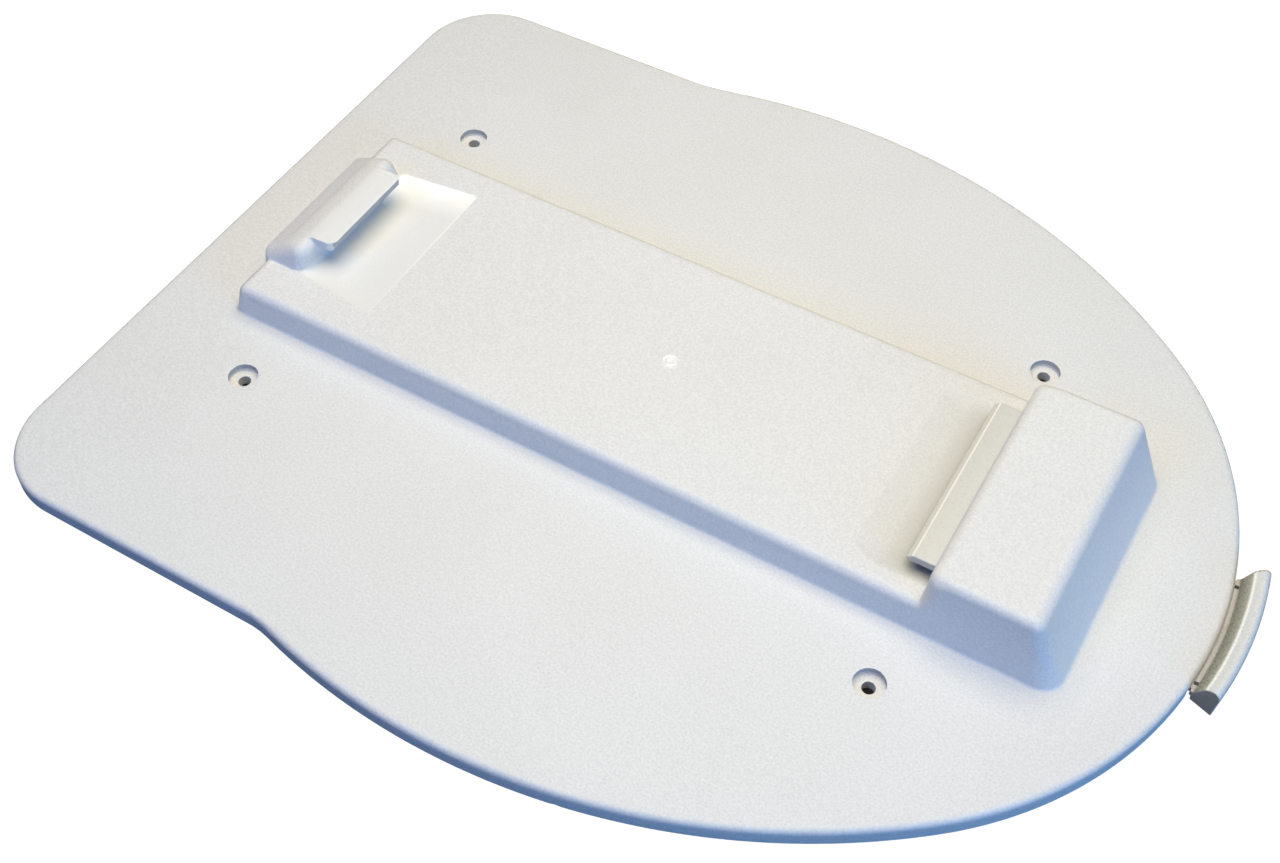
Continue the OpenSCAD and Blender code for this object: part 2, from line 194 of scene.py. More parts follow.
# pull handle
HANDLE_IN = FRONT_R + 0.5
HANDLE_OUT = HANDLE_HIGH[0] - FRONT_X
HANDLE_LOW_Z = HANDLE_LOW[2]
HANDLE_Z = HANDLE_HIGH[2]
HANDLE_HALF = 27.2                  # half width beside the plate's edge
HANDLE_FLARE = math.radians(18.7)
HANDLE_EDGE_X = FRONT_X + math.sqrt(HANDLE_IN ** 2 - HANDLE_HALF ** 2)
HANDLE_END_ROUND = 0.6
SHELF_Z = (2.0, 4.9)
SHELF_OUT = HANDLE_IN + 1.2
CREST_ROUND = 3.2
CREST_WIDE = 6.6                    # width of the crest at the height of CREST_ROUND's start
PIT_Y = 23.4                        # small blind pits at the ends of the shelf
PIT_R = 0.75
STRAP_HALF = 26.0
STRAP_REAR = 150.0
STRAP_Z = (2.5, 4.7)
STRAP_T = 2.2

# latch bolt and its springs
TONGUE_HALF = BOLT_HIGH[1]
TONGUE_Z = BOLT_HIGH[2]
TONGUE_T = 3.6
TONGUE_TIP = BOLT_LOW[0]
BEVEL = 2.2
BOLT_FRONT = 163.0
BOLT_BOSS_X = 161.0
BOLT_BOSS_Y = 12.0
BOLT_BOSS_R = 3.6
BOLT_BOSS_H = 7.0
SCREW_HEAD_R = 2.75
WEB_X = (152.0, 155.2)
FOOT_FRONT = BOLT_BOSS_X + 4.2
FOOT_HALF = 20.0
FOOT_T = 2.5
GUSSET_Y = (8.0, 38.0)
GUSSET_Z = 11.0
BOLT_SPIGOT_LONG = 5.3
SPRING_TURNS = 8
SPRING_COIL_R = 4.1
SPRING_WIRE_R = 0.4


# ---------------------------------------------------------------- signed distances

def round_max(a, b, r):
    """Intersection of two distances, with its edge rounded to radius r."""
    return np.minimum(np.maximum(a, b), -r) + np.hypot(np.maximum(a + r, 0), np.maximum(b + r, 0))


def round_min(a, b, r):
    """Union of two distances, with its inner corner filled to radius r."""
    return -round_max(-a, -b, r)


def slope(rise, draft):
    """Distance from a wall that leans inwards by draft for each millimetre of height."""
    return rise / math.hypot(1, draft)


def lean(r, z, low, high):
    """Distance to the left of the line from low to high, seen with z upwards."""
    run, rise = high[0] - low[0], high[1] - low[1]
    return ((z - low[1]) * run - (r - low[0]) * rise) / math.hypot(run, rise)


def slab(v, centre, half):
    return np.abs(v - centre) - half


def span(v, low, high):
    """Distance from the stretch between low and high."""
    return slab(v, (low + high) / 2, (high - low) / 2)


def rib_pair(v, places):
    """Distance from two ribs."""
    return np.minimum(slab(v, places[0], RIB / 2), slab(v, places[1], RIB / 2))


def rib_row(v, start, pitch):
    """Distance from the nearest of an endless row of ribs."""
    return np.abs((v - start + pitch / 2) % pitch - pitch / 2) - RIB / 2


def outline_distance(x, y):
    """Distance from the plate's outline in plan; negative inside."""
    ay = np.abs(y)
    front = np.hypot(x - FRONT_X, ay) - FRONT_R
    side = np.hypot(x - WIDEST_X, ay + SIDE_Y) - SIDE_R
    in_front = ay * ARC_STEP < (x - FRONT_X) * SIDE_Y
    rounded = np.maximum(np.where(in_front, front, side), PLATE_REAR / 2 - x)
    mid = (PLATE_REAR + ARC_STEP) / 2
    dx = slab(x, mid, (ARC_STEP - PLATE_REAR) / 2 - REAR_CORNER)
    dy = ay - (REAR_HALF - REAR_CORNER)
    rear = (np.hypot(np.maximum(dx, 0), np.maximum(dy, 0))
            + np.minimum(np.maximum(dx, dy), 0) - REAR_CORNER)
    return round_min(rounded, rear, WAIST_ROUND)


def hole_radius(x, ay):
    """Distance in plan from the axis of the nearest screw hole."""
    return np.hypot(np.abs(x) - HOLE_X, ay - HOLE_Y)


# ---------------------------------------------------------------- base moulding

def plinth_and_block(x, y, z, inset=0.0, rounds=1.0):
    """Distance from the plinth joined to the latch block, or from their hollow."""
    h = z - PLATE_H
    side = slope(np.abs(y) - PLINTH_HALF + SIDE_DRAFT * h, SIDE_DRAFT) + inset
    rear = slope(PLINTH_REAR - x + REAR_DRAFT * h, REAR_DRAFT) + inset
    front = slope(x - BLOCK_FRONT + FRONT_DRAFT * h, FRONT_DRAFT) + inset
    step = slope(BLOCK_REAR - x + BLOCK_REAR_DRAFT * (z - PLINTH_Z), BLOCK_REAR_DRAFT) + inset
    top = z - PLINTH_Z + inset
    crown = z - BLOCK_Z + inset
    at_step = np.clip((z - PLINTH_Z - 1) / 4, 0, 1) * np.clip((BLOCK_REAR + 9 - x) / 4, 0, 1)
    edge = rounds * (TOP_ROUND + STEP_EXTRA_ROUND * at_step)
    front_corner = FRONT_CORNER + FRONT_CORNER_GROWTH * np.clip(BLOCK_Z - z, 0, 40)
    corner = rounds * np.where(x > 0, front_corner, REAR_CORNER_ROUND)
    walls = round_max(side, np.maximum(rear, front), corner)
    raised = round_max(step, crown, rounds * STEP_ROUND)
    roof = round_min(top, raised, rounds * STEP_FILLET + 1e-3)
    return round_max(walls, roof, edge)


def ramp_z(x, start, end, depth):
    """Height of a ramp that falls by depth from start to end."""
    return PLINTH_Z - depth * (x - start) / (end - start)


def rear_ramp_z(x):
    return ramp_z(x, REAR_RAMP_X, HOOK_FRONT, REAR_RAMP_DEPTH)


def front_ramp_z(x):
    return ramp_z(x, FRONT_RAMP_X, BLOCK_REAR, FRONT_RAMP_DEPTH)


def cut_ramps(solid, x, ay, z):
    """Both ramps cut into the plinth's top, with sides that lean out."""
    below = PLINTH_Z - z
    over_ramp = -CUT_ABOVE - below
    lean_out = math.hypot(1, RAMP_SIDE)
    taper = np.clip((x - HOOK_FRONT) / (REAR_RAMP_X - HOOK_FRONT), 0, 1)
    half = REAR_RAMP_NECK + (REAR_RAMP_HALF - REAR_RAMP_NECK) * taper
    beside = round_max((ay - half + RAMP_SIDE * below) / lean_out, HOOK_FRONT - x, RAMP_CORNER)
    cut = round_max(beside, rear_ramp_z(x) - z, RAMP_FILLET - RAMP_FILLET_LOSS * taper)
    cut = np.maximum(cut, HOOK_FRONT - x)
    cut = np.maximum(cut, np.maximum(over_ramp, x - REAR_RAMP_X - OVERRUN))
    solid = np.maximum(solid, -cut)
    beside = (ay - FRONT_RAMP_HALF + RAMP_SIDE * below) / lean_out
    cut = round_max(beside, front_ramp_z(x) - z, RAMP_CORNER)
    cut = np.maximum(cut, np.maximum(x - BLOCK_REAR - 0.2, FRONT_RAMP_X - OVERRUN - x))
    return np.maximum(solid, -np.maximum(cut, over_ramp))


def hook_back(x, z):
    """Distance from the slope at the back of the hook."""
    fall_x, fall_z = CREST_X - PLINTH_REAR, CREST_Z - HOOK_REAR_Z
    return ((PLINTH_REAR - x) * fall_z + (z - HOOK_REAR_Z) * fall_x) / math.hypot(fall_x, fall_z)


def hook_end(ay, z):
    """Distance from the leaning ends of the hook's body."""
    return slope(ay - HOOK_HALF + HOOK_END_DRAFT * (z - PLINTH_Z), HOOK_END_DRAFT)


def add_hook(solid, x, ay, z):
    """The hook's body and its overhanging lip, joined on."""
    back = hook_back(x, z)
    ends = round_max(hook_end(ay, z), x - HOOK_FRONT, HOOK_CORNER)
    hook = round_max(round_max(back, z - CREST_Z, BACK_ROUND), PLINTH_REAR - x, HOOK_REAR_ROUND)
    hook = np.maximum(round_max(hook, ends, HOOK_CORNER), PLATE_H - 2 - z)
    solid = round_min(solid, hook, 0.5)
    top = z - LIP_Z + LIP_FALL * np.clip((LIP_FRONT - x) / (LIP_FRONT - CREST_X), 0, 1)
    face = x - LIP_FRONT + LIP_FACE_DRAFT * np.maximum(LIP_Z - z, 0)
    lip = round_max(back, round_max(top, face, LIP_EDGE), BACK_ROUND)
    lip = round_max(lip, ay - LIP_HALF, np.where(x > HOOK_FRONT + 4, 0.7, 0.3))
    lip = np.maximum(lip, round_max(ay - LIP_HALF, x - LIP_FRONT, LIP_CORNER))
    lip = np.maximum(lip, LIP_Z - LIP_T - z)
    return round_min(solid, lip, LIP_EDGE)


def under_plate(x, ay, z, plan):
    """Space under the plate's skin, between its ribs, rails and screw bosses."""
    cross = rib_row(x, CROSS_RIB_X, CROSS_RIB_PITCH)
    cross = np.maximum(cross, np.maximum(PLINTH_HALF - ay, CROSS_RIB_X - RIB - x))
    short = np.maximum(rib_pair(ay, REAR_RIB_Y), x - PLINTH_REAR - 1)
    ribs = np.minimum(np.minimum(cross, rib_pair(ay, LONG_RIB_Y)), short)
    foot = np.maximum(span(x, PLINTH_REAR, BLOCK_FRONT), ay - PLINTH_HALF)
    ribs = np.minimum(np.minimum(ribs, foot), hole_radius(x, ay) - BOSS_R)
    rails = np.maximum(slab(ay, STRAP_HALF + 1.3, RIB / 2),
                       np.maximum(span(x, *RAIL_X), COVER_Z - z))
    post = np.hypot(x - KEEPER_SCREW_X, ay - KEEPER_SCREW_Y) - KEEPER_BOSS_R
    ribs = np.minimum(ribs, np.minimum(rails, np.maximum(post, COVER_Z - z)))
    return np.maximum(np.maximum(plan + WALL, z - SKIN_Z), -ribs)


def ramp_floor(x, ay, z, ramp, half, low, high):
    """Material kept under a ramp that is cut into the plinth's top."""
    floor = np.maximum(ramp - WALL - z, ay - half - WALL)
    return np.maximum(floor, span(x, low, high))


def plinth_ribs(x, ay, z):
    """Ribs under the plinth, and the wall between it and the block."""
    ribs = np.maximum(rib_row(x, PLINTH_RIB_X, PLINTH_RIB_PITCH), span(x, *PLINTH_RIBS))
    wall = np.maximum(slab(x, BLOCK_REAR + WALL / 2, WALL / 2), z - PLINTH_WALL_Z)
    long = np.maximum(slab(ay, PLINTH_RIB_Y, RIB / 2), x - BLOCK_REAR)
    long = np.maximum(long, z - PLINTH_Z + REAR_RAMP_DEPTH + WALL / 2)
    return np.minimum(np.minimum(ribs, wall), long)


def block_fittings(x, ay, z):
    """Spring wall and spigots, ribs over the latch bolt, and bosses for the cover's screws."""
    seat = np.maximum(span(x, SPRING_WALL, SPRING_WALL + SPRING_WALL_T),
                      np.maximum(ay - SPRING_WALL_HALF, SPRING_WALL_LOW - z))
    along = slab(x, (BLOCK_REAR + SPRING_WALL) / 2 + 1, 19)
    guides = np.maximum(rib_pair(ay, GUIDE_Y), np.maximum(TONGUE_Z + 0.3 - z, along))
    seat = np.minimum(seat, guides)
    spigot = np.hypot(ay - SPRING_Y, z - SPRING_Z) - SPIGOT_R
    seat = np.minimum(seat, np.maximum(spigot, span(x, SPRING_WALL - SPIGOT_LONG, SPRING_WALL)))
    for screw_x in COVER_SCREW_X:
        boss = np.hypot(x - screw_x, ay - COVER_SCREW_Y) - COVER_BOSS_R
        web = np.maximum(slab(x, screw_x, RIB / 2), COVER_SCREW_Y - ay)
        tall = np.maximum(COVER_Z - z, z - COVER_Z - COVER_BOSS_H)
        seat = np.minimum(seat, np.maximum(np.minimum(boss, web), tall))
    return seat


def under_plinth(x, y, z):
    """Hollow of the plinth and the block, less what stands in it."""
    ay = np.abs(y)
    kept = ramp_floor(x, ay, z, rear_ramp_z(x), REAR_RAMP_HALF, HOOK_FRONT - WALL, REAR_RAMP_X)
    hollow = np.maximum(plinth_and_block(x, y, z, WALL, INNER_ROUNDS), -kept)
    kept = ramp_floor(x, ay, z, front_ramp_z(x), FRONT_RAMP_HALF, FRONT_RAMP_X, BLOCK_REAR + WALL)
    hollow = np.maximum(hollow, -np.maximum(kept, z - PLINTH_Z))
    hollow = np.maximum(hollow, -plinth_ribs(x, ay, z))
    return np.maximum(hollow, -block_fittings(x, ay, z))


def hook_core(x, ay, z):
    """Hollow inside the hook's body."""
    back = np.maximum(hook_back(x, z), z - CREST_Z)
    return np.maximum(round_max(PLINTH_REAR - x + WALL, back + WALL, 0.5),
                      np.maximum(hook_end(ay, z) + WALL, x - HOOK_FRONT + WALL))


def cut_latch_ways(solid, x, ay, z):
    """Slot for the tongue, and the gate and the notch for the strap."""
    slot = np.maximum(slab(x, BLOCK_REAR + 1.3, 2.6), ay - TONGUE_HALF - 0.7)
    slot = np.maximum(slot, span(z, PLINTH_Z - FRONT_RAMP_DEPTH, TONGUE_Z + 0.3))
    solid = np.maximum(solid, -slot)
    gate = np.maximum(ay - STRAP_HALF - 0.3, z - SKIN_Z)
    solid = np.maximum(solid, -np.maximum(gate, slab(x, BLOCK_FRONT - 1.5, 2.5)))
    notch = np.maximum(np.maximum(ay - STRAP_HALF - 1.5, z - SKIN_Z), NOTCH_X - x)
    return np.maximum(solid, -notch)


def cut_holes(solid, x, ay, z):
    """Counterbored floor-screw holes, and pilot holes for the object's own screws."""
    radius = hole_radius(x, ay)
    counterbore = np.maximum(radius - COUNTERBORE_R, PLATE_H - COUNTERBORE_DEPTH - z)
    solid = np.maximum(round_max(solid, -counterbore, COUNTERBORE_EDGE), HOLE_R - radius)
    for screw_x in COVER_SCREW_X:
        hole = np.hypot(x - screw_x, ay - COVER_SCREW_Y) - PILOT_R
        solid = np.maximum(solid, -np.maximum(hole, z - COVER_PILOT_Z))
    hole = np.hypot(x - KEEPER_SCREW_X, ay - KEEPER_SCREW_Y) - PILOT_R
    return np.maximum(solid, -np.maximum(hole, z - KEEPER_PILOT_Z))


def base_distance(x, y, z):
    """Distance from the surface of the whole base moulding."""
    ay = np.abs(y)
    plan = outline_distance(x, y)
    top = z - PLATE_H + CREASE_FALL * np.maximum(CREASE_X - x, 0)
    plate = round_max(plan + SKIRT_DRAFT * z, top, EDGE_ROUND)
    solid = round_min(plate, plinth_and_block(x, y, z), FOOT_ROUND)
    solid = add_hook(cut_ramps(solid, x, ay, z), x, ay, z)
    solid = np.maximum(solid, -under_plate(x, ay, z, plan))
    solid = np.maximum(solid, -under_plinth(x, y, z))
    solid = np.maximum(solid, -hook_core(x, ay, z))
    solid = cut_latch_ways(solid, x, ay, z)
    solid = cut_holes(solid, x, ay, z)
    return np.maximum(solid, -z)


# ---------------------------------------------------------------- dual contouring

def contour(field, axes, bias=0.02):
    """Quad mesh of a distance field's surface, with its sharp edges kept."""
    grid = np.meshgrid(*axes, indexing="ij", sparse=True)
    value = field(*grid)
    value = np.broadcast_to(value, [len(a) for a in axes])
    cells = np.array(value.shape) - 1
    hits = []
    for axis in range(3):
        low = np.take(value, range(cells[axis]), axis)
        high = np.take(value, range(1, cells[axis] + 1), axis)
        index = np.argwhere((low < 0) != (high < 0))
        f0 = low[tuple(index.T)]
        f1 = high[tuple(index.T)]
        start = np.stack([axes[k][index[:, k]] for k in range(3)], -1)
        length = axes[axis][index[:, axis] + 1] - start[:, axis]
        step = np.zeros_like(start)
        step[:, axis] = length
        t0 = np.zeros(len(index))
        t1 = np.ones(len(index))
        for _ in range(3):
            t = t0 + (t1 - t0) * f0 / (f0 - f1)
            f = field(*(start + step * t[:, None]).T)
            same = (f < 0) == (f0 < 0)
            t0, f0 = np.where(same, t, t0), np.where(same, f, f0)
            t1, f1 = np.where(same, t1, t), np.where(same, f1, f)
            flat = np.abs(f0 - f1) < 1e-9
            f1 = np.where(flat, f1 + np.where(f0 < 0, 1e-6, -1e-6), f1)
        t = np.clip(t0 + (t1 - t0) * f0 / (f0 - f1), 0, 1)
        point = start + step * t[:, None]
        normal = np.zeros_like(point)
        for k in range(3):
            shift = np.zeros(3)
            shift[k] = 0.01
            normal[:, k] = field(*(point + shift).T) - field(*(point - shift).T)
        normal /= np.maximum(np.linalg.norm(normal, axis=1, keepdims=True), 1e-12)
        rising = (value[tuple(index.T)] < 0)
        hits.append((axis, index, point, normal, rising))

    ids, points, normals, rings = [], [], [], []
    for axis, index, point, normal, rising in hits:
        b, c = (axis + 1) % 3, (axis + 2) % 3
        ring = []
        for down_b, down_c in ((1, 1), (0, 1), (0, 0), (1, 0)):
            cell = index.copy()
            cell[:, b] -= down_b
            cell[:, c] -= down_c
            ring.append(np.ravel_multi_index(cell.T, cells))
            points.append(point)
            normals.append(normal)
        ids.extend(ring)
        ring = np.stack(ring, -1)
        rings.append(np.where(rising[:, None], ring, ring[:, ::-1]))
    ids = np.concatenate(ids)
    points = np.concatenate(points)
    normals = np.concatenate(normals)
    rings = np.concatenate(rings)

    used, inverse = np.unique(ids, return_inverse=True)
    total = len(used)
    count = np.bincount(inverse, minlength=total)[:, None]

    def gather(weights):
        return np.bincount(inverse, weights, minlength=total)

    mean = np.stack([gather(points[:, k]) for k in range(3)], -1) / count
    reach = np.einsum("ij,ij->i", normals, points - mean[inverse])
    right = np.stack([gather(normals[:, k] * reach) for k in range(3)], -1)
    matrix = np.empty((total, 3, 3))
    for i in range(3):
        for j in range(3):
            matrix[:, i, j] = gather(normals[:, i] * normals[:, j])
    matrix += bias * np.eye(3)
    place = mean + np.linalg.solve(matrix, right[:, :, None])[:, :, 0]
    cell = np.stack(np.unravel_index(used, cells), -1)
    for k in range(3):
        place[:, k] = np.clip(place[:, k], axes[k][cell[:, k]], axes[k][cell[:, k] + 1])
    return place, np.searchsorted(used, rings)


def stations(low, high, fine, coarse, zones):
    """Grid lines from low to high, fine inside the zones and coarse between them."""
    out = [low]
    while out[-1] < high:
        here = out[-1]
        near = any(a - coarse < here < b for a, b in zones)
        out.append(here + (fine if near else coarse))
    return np.array(out)


def add_to_scene(name, data):
    """Object that holds a mesh, a light or a camera, linked to the scene."""
    obj = bpy.data.objects.new(name, data)
    bpy.context.scene.collection.objects.link(obj)
    return obj


def mesh_object(name, points, faces):
    """Object from many points in millimetres and faces of equal length."""
    faces = np.asarray(faces, np.int32)
    mesh = bpy.data.meshes.new(name)
    mesh.vertices.add(len(points))
    mesh.vertices.foreach_set("co", (np.asarray(points) * MM).astype(np.float32).ravel())
    mesh.loops.add(faces.size)
    mesh.loops.foreach_set("vertex_index", faces.ravel())
    mesh.polygons.add(len(faces))
    mesh.polygons.foreach_set("loop_start", np.arange(len(faces), dtype=np.int32) * faces.shape[1])
    mesh.update(calc_edges=True)
    mesh.validate()
    return add_to_scene(name, mesh)


def polygon_object(name, points, faces):
    """Object from a few points in millimetres and faces of any length."""
    mesh = bpy.data.meshes.new(name)
    mesh.from_pydata([tuple(MM * v for v in p) for p in points], [], faces)
    mesh.update()
    return add_to_scene(name, mesh)


def smooth(obj, angle=40):
    """Smooth shading, with edges sharper than the angle kept crisp."""
    mesh = obj.data
    mesh.polygons.foreach_set("use_smooth", np.ones(len(mesh.polygons), bool))
    mesh.set_sharp_from_angle(angle=math.radians(angle))


def make_base():
    """Base moulding, on a grid that is fine at the hook, the block and the ribs."""
    shift = 0.037                   # keeps grid lines off the flat faces
    ribs = [CROSS_RIB_X + k * CROSS_RIB_PITCH for k in range(2, 7)]
    ribs += [PLINTH_RIB_X + k * PLINTH_RIB_PITCH for k in range(1, 6)]
    ends = [(PLATE_REAR - 5, REAR_RAMP_X + 11.5), (FRONT_RAMP_X - 6, BASE_HIGH[0] + 5)]
    xs = stations(PLATE_REAR - 1 - shift, BASE_HIGH[0] + 1, 1.0, 4.0,
                  ends + [(v - 3, v + 3) for v in ribs])
    ys = stations(0.5 + shift, HALF_W + 1, 1.0, 3.0, [(14, HALF_W + 5)])
    ys = np.concatenate([-ys[::-1], ys])
    zs = stations(-1 + shift, BLOCK_Z + 1, 1.0, 1.0, [])
    points, faces = contour(base_distance, (xs, ys, zs))
    return mesh_object("base_body", np.clip(points, BASE_LOW, BASE_HIGH), faces)


# ---------------------------------------------------------------- moving pieces

def handle_end_distance(x, y):
    """Distance from the two flaring end planes of the handle; negative between them."""
    beyond = np.abs(y) - HANDLE_HALF
    return beyond * math.cos(HANDLE_FLARE) - (x - HANDLE_EDGE_X) * math.sin(HANDLE_FLARE)


def handle_pit_distance(x, y):
    """Distance in plan from the wall of the nearer pit."""
    return np.hypot(np.abs(y) - PIT_Y, np.hypot(x - FRONT_X, y) - HANDLE_IN - 0.4) - PIT_R


def handle_distance(x, y, z):
    """Pull handle: low shelf, tall rounded crest, and the flat strap behind it."""
    r = np.hypot(x - FRONT_X, y)
    crest_z = HANDLE_Z - CREST_ROUND
    inner = lean(r, z, (SHELF_OUT, SHELF_Z[1]), (HANDLE_OUT - CREST_WIDE, crest_z))
    inner = np.maximum(inner, SHELF_OUT - 0.2 - r)
    outer = -lean(r, z, (HANDLE_OUT - 0.5, HANDLE_LOW_Z), (HANDLE_OUT, crest_z))
    crest = round_max(inner, round_max(outer, z - HANDLE_Z, CREST_ROUND), CREST_ROUND)
    shelf = round_max(round_max(z - SHELF_Z[1], HANDLE_IN - r, 0.4), SHELF_Z[0] - z, 0.3)
    pit = np.maximum(handle_pit_distance(x, y), SHELF_Z[0] + 0.8 - z)
    shelf = np.maximum(np.maximum(shelf, r - SHELF_OUT - 3), -pit)
    bar = round_max(round_min(crest, shelf, 0.2), handle_end_distance(x, y), HANDLE_END_ROUND)
    bar = np.maximum(bar, HANDLE_LOW_Z - z)
    strap = round_max(np.abs(y) - STRAP_HALF, STRAP_REAR - x, 3.0)
    strap = np.maximum(strap, r - SHELF_OUT - 1)
    strap = np.maximum(strap, slab(z, sum(STRAP_Z) / 2, STRAP_T / 2))
    hole = np.hypot(x - BOLT_BOSS_X, np.abs(y) - BOLT_BOSS_Y)
    hole = hole - np.clip(SCREW_HEAD_R - (z - STRAP_Z[0]), PILOT_R, SCREW_HEAD_R)
    return np.maximum(np.minimum(bar, strap), -hole)


def tongue_distance(x, z):
    """Profile of the latch bolt's bevelled tongue."""
    bevel = ((TONGUE_TIP + BEVEL - x) + (z - TONGUE_Z)) / math.sqrt(2)
    tongue = round_max(z - TONGUE_Z, x - BOLT_FRONT, 0.4)
    tongue = round_max(tongue, bevel, 0.35)
    tongue = round_max(tongue, TONGUE_Z - TONGUE_T - z, 0.3)
    return round_max(tongue, TONGUE_TIP - x, 0.3)


def bolt_distance(x, y, z):
    """Latch bolt: bevelled tongue, web, foot, gussets, spigots and screw bosses."""
    ay = np.abs(y)
    strap_top = STRAP_Z[1]
    web = np.maximum(span(x, *WEB_X), z - TONGUE_Z + 1)
    web = np.maximum(web, strap_top + 0.5 - z)
    foot = np.maximum(span(x, WEB_X[0], FOOT_FRONT),
                      np.maximum(ay - FOOT_HALF, z - strap_top - FOOT_T))
    gusset = np.maximum(rib_pair(ay, GUSSET_Y), WEB_X[0] - x)
    gusset = np.maximum(gusset, z - TONGUE_Z + 1)
    run = BOLT_FRONT - WEB_X[1]
    under = (x - WEB_X[1]) * GUSSET_Z - (z - TONGUE_Z + TONGUE_T + GUSSET_Z) * run
    gusset = np.maximum(gusset, under / math.hypot(run, GUSSET_Z))
    body = round_min(tongue_distance(x, z), np.minimum(web, gusset), 0.5)
    body = round_max(body, ay - TONGUE_HALF, 0.5)
    spigot = np.hypot(ay - SPRING_Y, z - SPRING_Z) - SPIGOT_R
    spigot = round_max(spigot, x - WEB_X[1] - BOLT_SPIGOT_LONG, 0.6)
    spigot = np.maximum(spigot, WEB_X[0] + 1 - x)
    boss = np.hypot(x - BOLT_BOSS_X, ay - BOLT_BOSS_Y)
    post = round_max(boss - BOLT_BOSS_R, z - strap_top - BOLT_BOSS_H, 0.5)
    body = np.minimum(round_min(body, foot, 0.5), np.minimum(spigot, post))
    body = np.maximum(body, -np.maximum(boss - PILOT_R, z - strap_top - BOLT_BOSS_H + 1))
    return np.maximum(body, strap_top - z)


def make_contoured(name, field, low, high, steps):
    """Contoured object on a grid with its own step along each axis, kept inside its CAD box."""
    axes = []
    for k, step in enumerate(steps):
        axes.append(stations(low[k] - 1.463 * step, high[k] + step, step, step, []))
    points, faces = contour(field, axes)
    return mesh_object(name, np.clip(points, low, high), faces)


def tube_mesh(name, path, radius, sides):
    """Round wire along a path of points in millimetres, with flat ground ends."""
    path = np.asarray(path)
    along = np.gradient(path, axis=0)
    along /= np.linalg.norm(along, axis=1, keepdims=True)
    side = np.cross(along, [1.0, 0.0, 0.0])
    side /= np.linalg.norm(side, axis=1, keepdims=True)
    other = np.cross(along, side)
    angle = np.linspace(0, 2 * math.pi, sides, endpoint=False)
    rings = (path[:, None] + radius * (np.cos(angle)[None, :, None] * side[:, None]
                                       + np.sin(angle)[None, :, None] * other[:, None]))
    points = np.concatenate([rings.reshape(-1, 3), path[:1], path[-1:]])
    faces = []
    for i in range(len(path) - 1):
        for k in range(sides):
            n = (k + 1) % sides
            faces.append((i * sides + k, i * sides + n, (i + 1) * sides + n, (i + 1) * sides + k))
    last = (len(path) - 1) * sides
    for k in range(sides):
        n = (k + 1) % sides
        faces.append((len(points) - 2, n, k))
        faces.append((len(points) - 1, last + k, last + n))
    return polygon_object(name, points, faces)


def make_spring(name, y):
    """Compression spring with closed ends, between the web and the spring wall."""
    start = SPRING_LOW[0] + SPRING_WIRE_R + 0.1
    length = SPRING_HIGH[0] - SPRING_LOW[0] - 2 * SPRING_WIRE_R - 0.2
    t = np.linspace(0, 1, SPRING_TURNS * 28 + 1)
    closed, rate = 0.12, 0.4        # share of the wire at each end, and its pitch
    end = closed * rate
    middle = end + (t - closed) * (1 - 2 * end) / (1 - 2 * closed)
    pitch = np.where(t < closed, t * rate, np.where(t > 1 - closed, 1 - (1 - t) * rate, middle))
    turn = 2 * math.pi * SPRING_TURNS * t
    path = np.stack([start + length * pitch, y + SPRING_COIL_R * np.cos(turn),
                     SPRING_Z + SPRING_COIL_R * np.sin(turn)], -1)
    return tube_mesh(name, path, SPRING_WIRE_R, 10)


def make_gate_mark():
    """Small raised ring where the moulding was filled, on the plinth's top."""
    profile = [(1.0, 0.03), (1.5, 0.28), (1.9, 0.3), (2.3, 0.04), (2.9, 0.03),
               (3.15, 0.22), (3.45, 0.22), (3.7, -0.05)]
    sides = 48
    points = []
    for r, z in profile:
        for k in range(sides):
            a = 2 * math.pi * k / sides
            wobble = 1 + 0.02 * math.sin(3 * a)
            points.append((GATE_X + r * wobble * math.cos(a), r * wobble * math.sin(a),
                           PLINTH_Z + z))
    last = (len(profile) - 1) * sides
    faces = []
    for i in range(0, last, sides):
        for k in range(sides):
            n = (k + 1) % sides
            faces.append((i + k, i + sides + k, i + sides + n, i + n))
    faces.append(tuple(range(sides)))
    faces.append(tuple(reversed(range(last, last + sides))))
    mark = polygon_object("gate_mark", points, faces)
    smooth(mark, 50)
    return mark


# ---------------------------------------------------------------- materials

# Bands where the rear ramp gets a painted highlight, along its front edge and on its far side
HIGHLIGHT_X = (REAR_RAMP_X - 1.0, REAR_RAMP_X - 0.3)
HIGHLIGHT_Y = (22.0, 36.0)
# Stretch over which the front ramp's painted shade deepens towards the tongue
SHADE_X = (TONGUE_TIP - 10.0, TONGUE_TIP + 1.0)
# Painted shade on the shelf and in the finger-side scoop, and a painted highlight line where the
# scoop meets the crest
HANDLE_SHADE_RINGS = (                    # radius, and the handle's colour there
    (HANDLE_IN, (0.55, 0.53, 0.54)),
    (SHELF_OUT - 0.4, (0.40, 0.38, 0.37)),
    (SHELF_OUT + 0.4, (0.24, 0.24, 0.18)),
    (HANDLE_OUT - 6.3, (0.42, 0.41, 0.32)),
    # painted highlight line
    (HANDLE_OUT - 5.6, (0.98, 0.97, 0.88)),
    (HANDLE_OUT - 4.9, (0.66, 0.67, 0.66)),
)


def new_material(name):
    """Material, its node tree, its shader and the object's own coordinates."""
    material = bpy.data.materials.new(name)
    material.use_nodes = True
    tree = material.node_tree
    shader = tree.nodes["Principled BSDF"]
    where = tree.nodes.new("ShaderNodeTexCoord").outputs["Object"]
    return material, tree, shader, where


def noise(tree, where, size, detail, rough=0.5):
    """Noise whose features are about size metres across."""
    node = tree.nodes.new("ShaderNodeTexNoise")
    node.inputs["Scale"].default_value = 1 / size
    node.inputs["Detail"].default_value = detail
    node.inputs["Roughness"].default_value = rough
    tree.links.new(where, node.inputs["Vector"])
    return node.outputs["Fac"]


